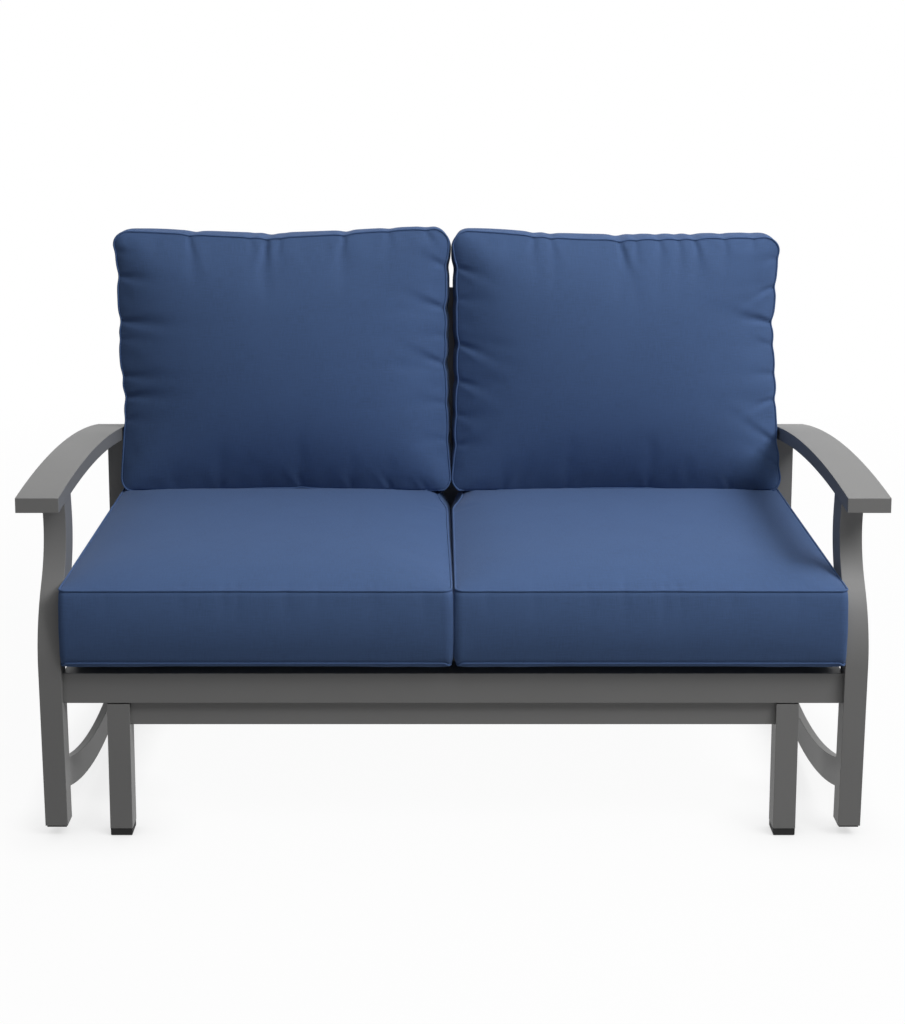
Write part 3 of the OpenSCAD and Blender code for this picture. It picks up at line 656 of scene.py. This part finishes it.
class Cover:
    """A boxed cushion's cover as one closed grid: a front panel, a back panel and a band."""

    def __init__(self, make, low, high, parts):
        self.make, self.parts, self.seams = make, parts, make["seams"]
        width, height = self.size = (high[0] - low[0], high[1] - low[1])
        across = grid_lines(width, make["corner"], GRID_STEP, parts)
        up = grid_lines(height, make["corner"], GRID_STEP, parts)
        self.shape = (len(across), len(up))
        x, v = np.meshgrid(across, up, indexing="ij")
        x, v = rounded(x, v, width, height, make["corner"])
        self.s, self.t = x / width, v / height
        self.count = self.s.size
        self.loop = self.boundary()
        self.rows = round((self.seams[1] - self.seams[0]) / GRID_STEP) * parts
        front, back = self.panels(low[0] + x, low[1] + v)
        self.points = np.concatenate([front, back, *self.band(front[self.loop], back[self.loop])])

    def panels(self, x, v):
        """The points of the front panel and of the back panel."""
        make, s, t = self.make, self.s, self.t
        pull = {side: self.pulled(side) for side in ("left", "right", "bottom", "top")}
        pull_x = s * pull["right"] - (1 - s) * pull["left"]
        pull_v = t * pull["top"] - (1 - t) * pull["bottom"]
        rise = self.rise(make["roll"], make["crown"]) + make["taper"] * (t - 0.5)
        for side, table in make["droops"].items():
            droop = eased(table, self.share_along(side))
            rise = rise - droop * np.exp(-self.inward(side) / DROOP_WIDTH)
        sink = self.rise(make["back_roll"], make["back_crown"])
        share = make["back_pull"]
        front = np.stack([x + pull_x, v + pull_v, self.seams[1] + rise], -1)
        back = np.stack([x + pull_x * share, v + pull_v * share, self.seams[0] - sink], -1)
        return front.reshape(-1, 3), back.reshape(-1, 3)

    def band(self, front, back):
        """The rings of points between the back seam and the front seam."""
        out, bulges, rings = self.outward(), self.bulges(), []
        for row in range(1, self.rows):
            share = row / self.rows
            follow = share ** self.make["follow"]
            ring = back * (1 - follow) + front * follow
            ring[:, 2] = back[:, 2] * (1 - share) + front[:, 2] * share
            bulge = np.sqrt(np.sin(math.pi * share)) * bulges - self.dents(1 - share)
            ring[:, :2] += out * bulge[:, None]
            rings.append(ring)
        return rings

    def share_along(self, side):
        return self.t if side in ("left", "right") else self.s

    def length_of(self, side):
        return self.size[1] if side in ("left", "right") else self.size[0]

    def inward(self, side):
        """How far each point lies in from a side."""
        return {
            "left": self.s * self.size[0], "right": (1 - self.s) * self.size[0],
            "bottom": self.t * self.size[1], "top": (1 - self.t) * self.size[1],
        }[side]

    def pulled(self, side):
        """How far a side's seam stands out from the straight, with the nicks of its folds."""
        share = self.share_along(side)
        offset = eased(self.make["pulls"].get(side, ((0, 0), (1, 0))), share)
        for place, _, wide, deep, _ in self.make["folds"].get(side, ()):
            q = (share - place) * self.length_of(side) / wide
            offset = offset - NICK * deep * np.exp(-q ** 2)
        return offset

    def rise(self, roll, crown):
        """How far a panel stands over its seams: a quick roll at the edge and a broad crown."""
        inward_x = np.minimum(self.inward("left"), self.inward("right"))
        inward_v = np.minimum(self.inward("bottom"), self.inward("top"))
        edge = (1 - np.exp(-inward_x / roll[1])) * (1 - np.exp(-inward_v / roll[1]))
        across, up = self.make["arcs"]
        return roll[0] * edge + crown * swell(self.s, *across) * swell(self.t, *up)

    def boundary(self):
        nx, nv = self.shape
        index = np.arange(nx * nv).reshape(nx, nv)
        return np.concatenate([index[:, 0], index[-1, 1:], index[-2::-1, -1], index[0, -2:0:-1]])

    def round_band(self, field):
        """A panel's values where it meets the band, in the band's own order."""
        return field.reshape(-1)[self.loop]

    def outward(self):
        """The direction in plan that faces away from the cushion, round the band."""
        loop = np.stack([self.round_band(self.inward(side)) for side in ("left", "bottom")], -1)
        along = np.roll(loop, -1, axis=0) - np.roll(loop, 1, axis=0)
        out = np.stack([along[:, 1], -along[:, 0]], -1)
        return out / np.linalg.norm(out, axis=1, keepdims=True)

    def near(self, side):
        """How much a point of the band belongs to a side, from 0 to 1, round the band."""
        return np.exp(-(self.round_band(self.inward(side)) / SIDE_BLEND) ** 2)

    def bulges(self):
        """How far the band's middle swells, round the band."""
        swells = [self.near(side) * bulge for side, bulge in self.make["bulges"].items()]
        return sum(height ** SIDE_POWER for height in swells) ** (1 / SIDE_POWER)

    def dents(self, below):
        """How deep the folds press into the band, at a share of its height below its front seam."""
        depth = np.zeros(len(self.loop))
        fade = BAND_DEPTH * math.exp(-below * BAND_FADE) * min(1.0, below / BAND_START)
        for side, folds in self.make["folds"].items():
            share = self.round_band(self.share_along(side))
            for place, _, wide, deep, _ in folds:
                q = (share - place) * self.length_of(side) / wide
                depth += self.near(side) * deep * fade * fold_profile(q)
        return depth

    def ring(self, row):
        """The point numbers round the band: row 0 is the back seam, the last the front seam."""
        if row == 0:
            return self.loop + self.count
        if row == self.rows:
            return self.loop
        return 2 * self.count + (row - 1) * len(self.loop) + np.arange(len(self.loop))

    def faces(self):
        """The faces and, beside each, its corners' places on the flat cloth."""
        nx, nv = self.shape
        index = np.arange(nx * nv).reshape(nx, nv)
        quads = np.stack([index[:-1, :-1], index[1:, :-1], index[1:, 1:], index[:-1, 1:]], -1)
        quads = quads.reshape(-1, 4)
        flat = np.stack([self.s * self.size[0], self.t * self.size[1]], -1).reshape(-1, 2)
        faces = [quads, quads[:, ::-1] + self.count]
        cloth = [flat[quads], flat[quads[:, ::-1]]]
        steps = np.linalg.norm(np.roll(flat[self.loop], -1, axis=0) - flat[self.loop], axis=1)
        along = np.concatenate([[0], np.cumsum(steps)])
        high = (self.seams[1] - self.seams[0]) / self.rows
        for row in range(self.rows):
            low_ring, high_ring = self.ring(row), self.ring(row + 1)
            faces.append(np.stack([
                low_ring, np.roll(low_ring, -1), np.roll(high_ring, -1), high_ring], -1))
            a, b = along[:-1], along[1:]
            v0, v1 = np.full_like(a, row * high), np.full_like(a, (row + 1) * high)
            cloth.append(np.stack([
                np.stack([a, v0], -1), np.stack([b, v0], -1),
                np.stack([b, v1], -1), np.stack([a, v1], -1)], 1))
        return np.concatenate(faces), np.concatenate(cloth)

    def take(self, coarse, moved):
        """Adds how far a coarser grid's points moved, read smoothly between them."""
        nx, nv = coarse.shape
        rows_x, rows_v = finer(nx, self.parts), finer(nv, self.parts)
        for start, own in ((0, 0), (coarse.count, self.count)):
            field = moved[start:start + coarse.count].reshape(nx, nv, 3)
            field = smoothed(smoothed(field, 0), 1)
            field = np.einsum("ai,bj,ijk->abk", rows_x, rows_v, field)
            self.points[own:own + self.count] += field.reshape(-1, 3)
        rings = np.stack([moved[coarse.ring(row)] for row in range(coarse.rows + 1)])
        rings = smoothed(smoothed(rings, 0), 1, True)
        down, round_it = finer(coarse.rows + 1, self.parts), finer(len(coarse.loop), self.parts, True)
        field = np.einsum("ai,bj,ijk->abk", down, round_it, rings)
        for row in range(1, self.rows):
            self.points[self.ring(row)] += field[row]

    def crease(self):
        """Presses the folds into the front panel, each running in from the seam."""
        for side, folds in self.make["folds"].items():
            away, share = self.inward(side), self.share_along(side)
            for place, reach, wide, deep, slant in folds:
                q = (share - place) * self.length_of(side) - slant * away
                q = q / (wide * (FOLD_WIDTHS[0] + FOLD_WIDTHS[1] * away / reach))
                fade = np.exp(-FOLD_FADE * away / reach) * (1 - np.exp(-away / FOLD_START))
                depth = FOLD_DEPTH * deep * fade * fold_profile(q)
                self.points[:self.count, 2] -= depth.reshape(-1)


def inflate(cover, pressure, growth, cap):
    """Blows a cover up as cloth with its seams held: how far each point moves, at most cap."""
    faces, _ = cover.faces()
    mesh = bpy.data.meshes.new("blown")
    mesh.from_pydata(cover.points.tolist(), [], faces.tolist())
    piece = bpy.data.objects.new("blown", mesh)
    scene = bpy.context.scene
    scene.collection.objects.link(piece)
    held = piece.vertex_groups.new(name="seams")
    held.add(np.concatenate([cover.ring(0), cover.ring(cover.rows)]).tolist(), 1.0, "REPLACE")
    cloth = piece.modifiers.new("cloth", "CLOTH")
    settings = cloth.settings
    settings.quality = 6
    settings.mass = 0.3
    settings.tension_stiffness = settings.compression_stiffness = 30
    settings.shear_stiffness = 12
    settings.bending_stiffness = 0.3
    settings.use_pressure = True
    settings.uniform_pressure_force = pressure
    settings.shrink_min = -growth
    settings.vertex_group_mass = "seams"
    settings.effector_weights.gravity = 0
    cloth.collision_settings.use_collision = False
    cloth.point_cache.frame_start, cloth.point_cache.frame_end = 1, SIM_FRAMES
    for step in range(1, SIM_FRAMES + 1):
        scene.frame_set(step)
    shown = piece.evaluated_get(bpy.context.evaluated_depsgraph_get())
    blown = np.empty(len(cover.points) * 3)
    shown.data.vertices.foreach_get("co", blown)
    scene.frame_set(1)
    bpy.data.objects.remove(piece)
    moved = blown.reshape(-1, 3) - cover.points
    far = np.linalg.norm(moved, axis=1, keepdims=True)
    return moved * (cap * np.tanh(far / cap) / np.maximum(far, 1e-9))


def made_cover(make, low, high):
    """A cushion's cover, filled and creased. Its shape is set before it is placed."""
    cover = Cover(make, low, high, GRID_PARTS)
    coarse = Cover(make, low, high, 1)
    cover.take(coarse, inflate(coarse, make["pressure"], make["growth"], make["cap"]))
    cover.crease()
    return cover


def shown_mesh(name, points, faces, cloth, material):
    mesh = bpy.data.meshes.new(name)
    mesh.from_pydata(points.tolist(), [], faces.tolist())
    layer = mesh.uv_layers.new(name="cloth")
    layer.data.foreach_set("uv", cloth.reshape(-1))
    mesh.polygons.foreach_set("use_smooth", [True] * len(mesh.polygons))
    mesh.update()
    piece = bpy.data.objects.new(name, mesh)
    piece.data.materials.append(material)
    bpy.context.scene.collection.objects.link(piece)
    return piece


def piping(name, loops, lifts, material):
    """Round cords along closed seams, each point lifted off the cover along its own direction."""
    sides = PIPING_SIDES
    points, faces, cloth = [], [], []
    for loop, lift in zip(loops, lifts):
        centre = loop + lift * PIPING_RADIUS * PIPING_LIFT
        tangent = np.roll(centre, -1, axis=0) - np.roll(centre, 1, axis=0)
        tangent /= np.linalg.norm(tangent, axis=1, keepdims=True)
        out = lift - (lift * tangent).sum(1, keepdims=True) * tangent
        out /= np.linalg.norm(out, axis=1, keepdims=True)
        side = np.cross(tangent, out)
        steps = np.linalg.norm(np.roll(centre, -1, axis=0) - centre, axis=1)
        along = np.concatenate([[0], np.cumsum(steps)])
        first, count = sum(len(p) for p in points), len(centre)
        turn = 2 * np.pi * np.arange(sides) / sides
        rings = centre[:, None] + PIPING_RADIUS * (
            np.cos(turn)[None, :, None] * out[:, None] + np.sin(turn)[None, :, None] * side[:, None])
        points.append(rings.reshape(-1, 3))
        i, k = np.meshgrid(np.arange(count), np.arange(sides), indexing="ij")
        j, m = (i + 1) % count, (k + 1) % sides
        quad = np.stack([i * sides + k, j * sides + k, j * sides + m, i * sides + m], -1)
        faces.append(quad.reshape(-1, 4) + first)
        girth = 2 * np.pi * PIPING_RADIUS / sides
        a, b = along[i], along[i + 1]
        cloth.append(np.stack([
            np.stack([a, k * girth], -1), np.stack([b, k * girth], -1),
            np.stack([b, (k + 1) * girth], -1), np.stack([a, (k + 1) * girth], -1),
        ], 2).reshape(-1, 4, 2))
    points, faces, cloth = [np.concatenate(group) for group in (points, faces, cloth)]
    return shown_mesh(name, points, faces, cloth, material)


def finish_cushion(name, node, cover, points, fabric, cord):
    """Shows a cover at its placed points, with piping, for the CAD solid that it stands for."""
    faces, cloth = cover.faces()
    piece = shown_mesh(name, points, faces, cloth, fabric)
    normals = np.empty(len(points) * 3)
    piece.data.vertices.foreach_get("normal", normals)
    normals = normals.reshape(-1, 3)
    seams = [cover.ring(0), cover.ring(cover.rows)]
    edging = piping(name + "_piping", [points[r] for r in seams], [normals[r] for r in seams], cord)
    for made in (piece, edging):
        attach(made, "seat")
        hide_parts(node)


def rest_line(y):
    """The height at which the back cushions rest on the seat cushions, y metres back."""
    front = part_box("back_cushion_right")[0]
    start = front.y + REST_START
    lift = np.where(y < start, (start - y) * REST_OPENING, (start - y) * math.tan(RECLINE))
    return REST_HEIGHT + lift


def seat_cushion(side, fabric, cord):
    """Lays the cushion on the slats, under the back cushion and clear of its neighbours."""
    make, node = SEATS[side], "seat_cushion_" + side
    low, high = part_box(node)
    start, end = low.y + SEAT_END_GAPS[0], high.y - SEAT_END_GAPS[1]
    cover = made_cover(make, (make["x"][0], start), (make["x"][1], end))
    points = cover.points
    points[:, 2] = np.clip(points[:, 2], SEAT_FLOOR, rest_line(points[:, 1]) - REST_GAP)
    points[:, 0] = np.clip(points[:, 0], *ROOM[side])
    finish_cushion("seat_cover_" + side, node, cover, points, fabric, cord)


def back_cushion(side, fabric, cord):
    """Leans the cushion on the back frame, clear of the arms and resting on the seat cushion."""
    make = BACKS[side]
    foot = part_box("back_upright_right")[0]
    cover = made_cover(make, (make["x"][0], BACK_ENDS[0]), (make["x"][1], BACK_ENDS[1]))
    x, v, w = cover.points.T
    w = np.maximum(w, BACK_FLOOR)
    y = foot.y + v * math.sin(RECLINE) - w * math.cos(RECLINE)
    z = foot.z + v * math.cos(RECLINE) + w * math.sin(RECLINE)
    z = np.maximum(z, rest_line(y) + REST_GAP)
    room = np.interp(z, *np.array(BACK_ROOM).T)
    inner = ROOM[side][1 if side == "left" else 0]
    x = np.clip(x, -room, inner) if side == "left" else np.clip(x, inner, room)
    points = np.stack([x, y, z], -1)
    finish_cushion("back_cover_" + side, "back_cushion_" + side, cover, points, fabric, cord)


# ---- putting it together ---------------------------------------------------------------------


def dress_frame():
    """Gives every CAD node the finish of its own material slot."""
    finishes = {
        "frame": powder_coat(),
        "steel": zinc(),
        "bush": moulded("bush_plastic", BUSH_BLACK, 0.48, 0.0006),
        "foot": moulded("foot_rubber", FOOT_BLACK, 0.70, 0.0009),
        "glide": moulded("glide_plastic", FOOT_BLACK, 0.55, 0.0006),
    }
    for part in frame["record"]["subparts"]:
        finish = finishes.get(part["material_slot"])
        if finish is not None:
            node = frame["nodes"][part["node"]]
            node.data.materials.clear()
            node.data.materials.append(finish)


add_camera()
add_world()
for lamp_name, lamp in LAMPS.items():
    add_lamp(lamp_name, *lamp)
add_floor()
dress_frame()
# The piping's cloth is 5% paler than the panels', a painted highlight along the seams
cloth_material, piping_material = woven("blue_cloth"), woven("blue_piping", 1.05)
for hand in ("left", "right"):
    seat_cushion(hand, cloth_material, piping_material)
    back_cushion(hand, cloth_material, piping_material)

bpy.context.scene.view_settings.view_transform = "Standard"
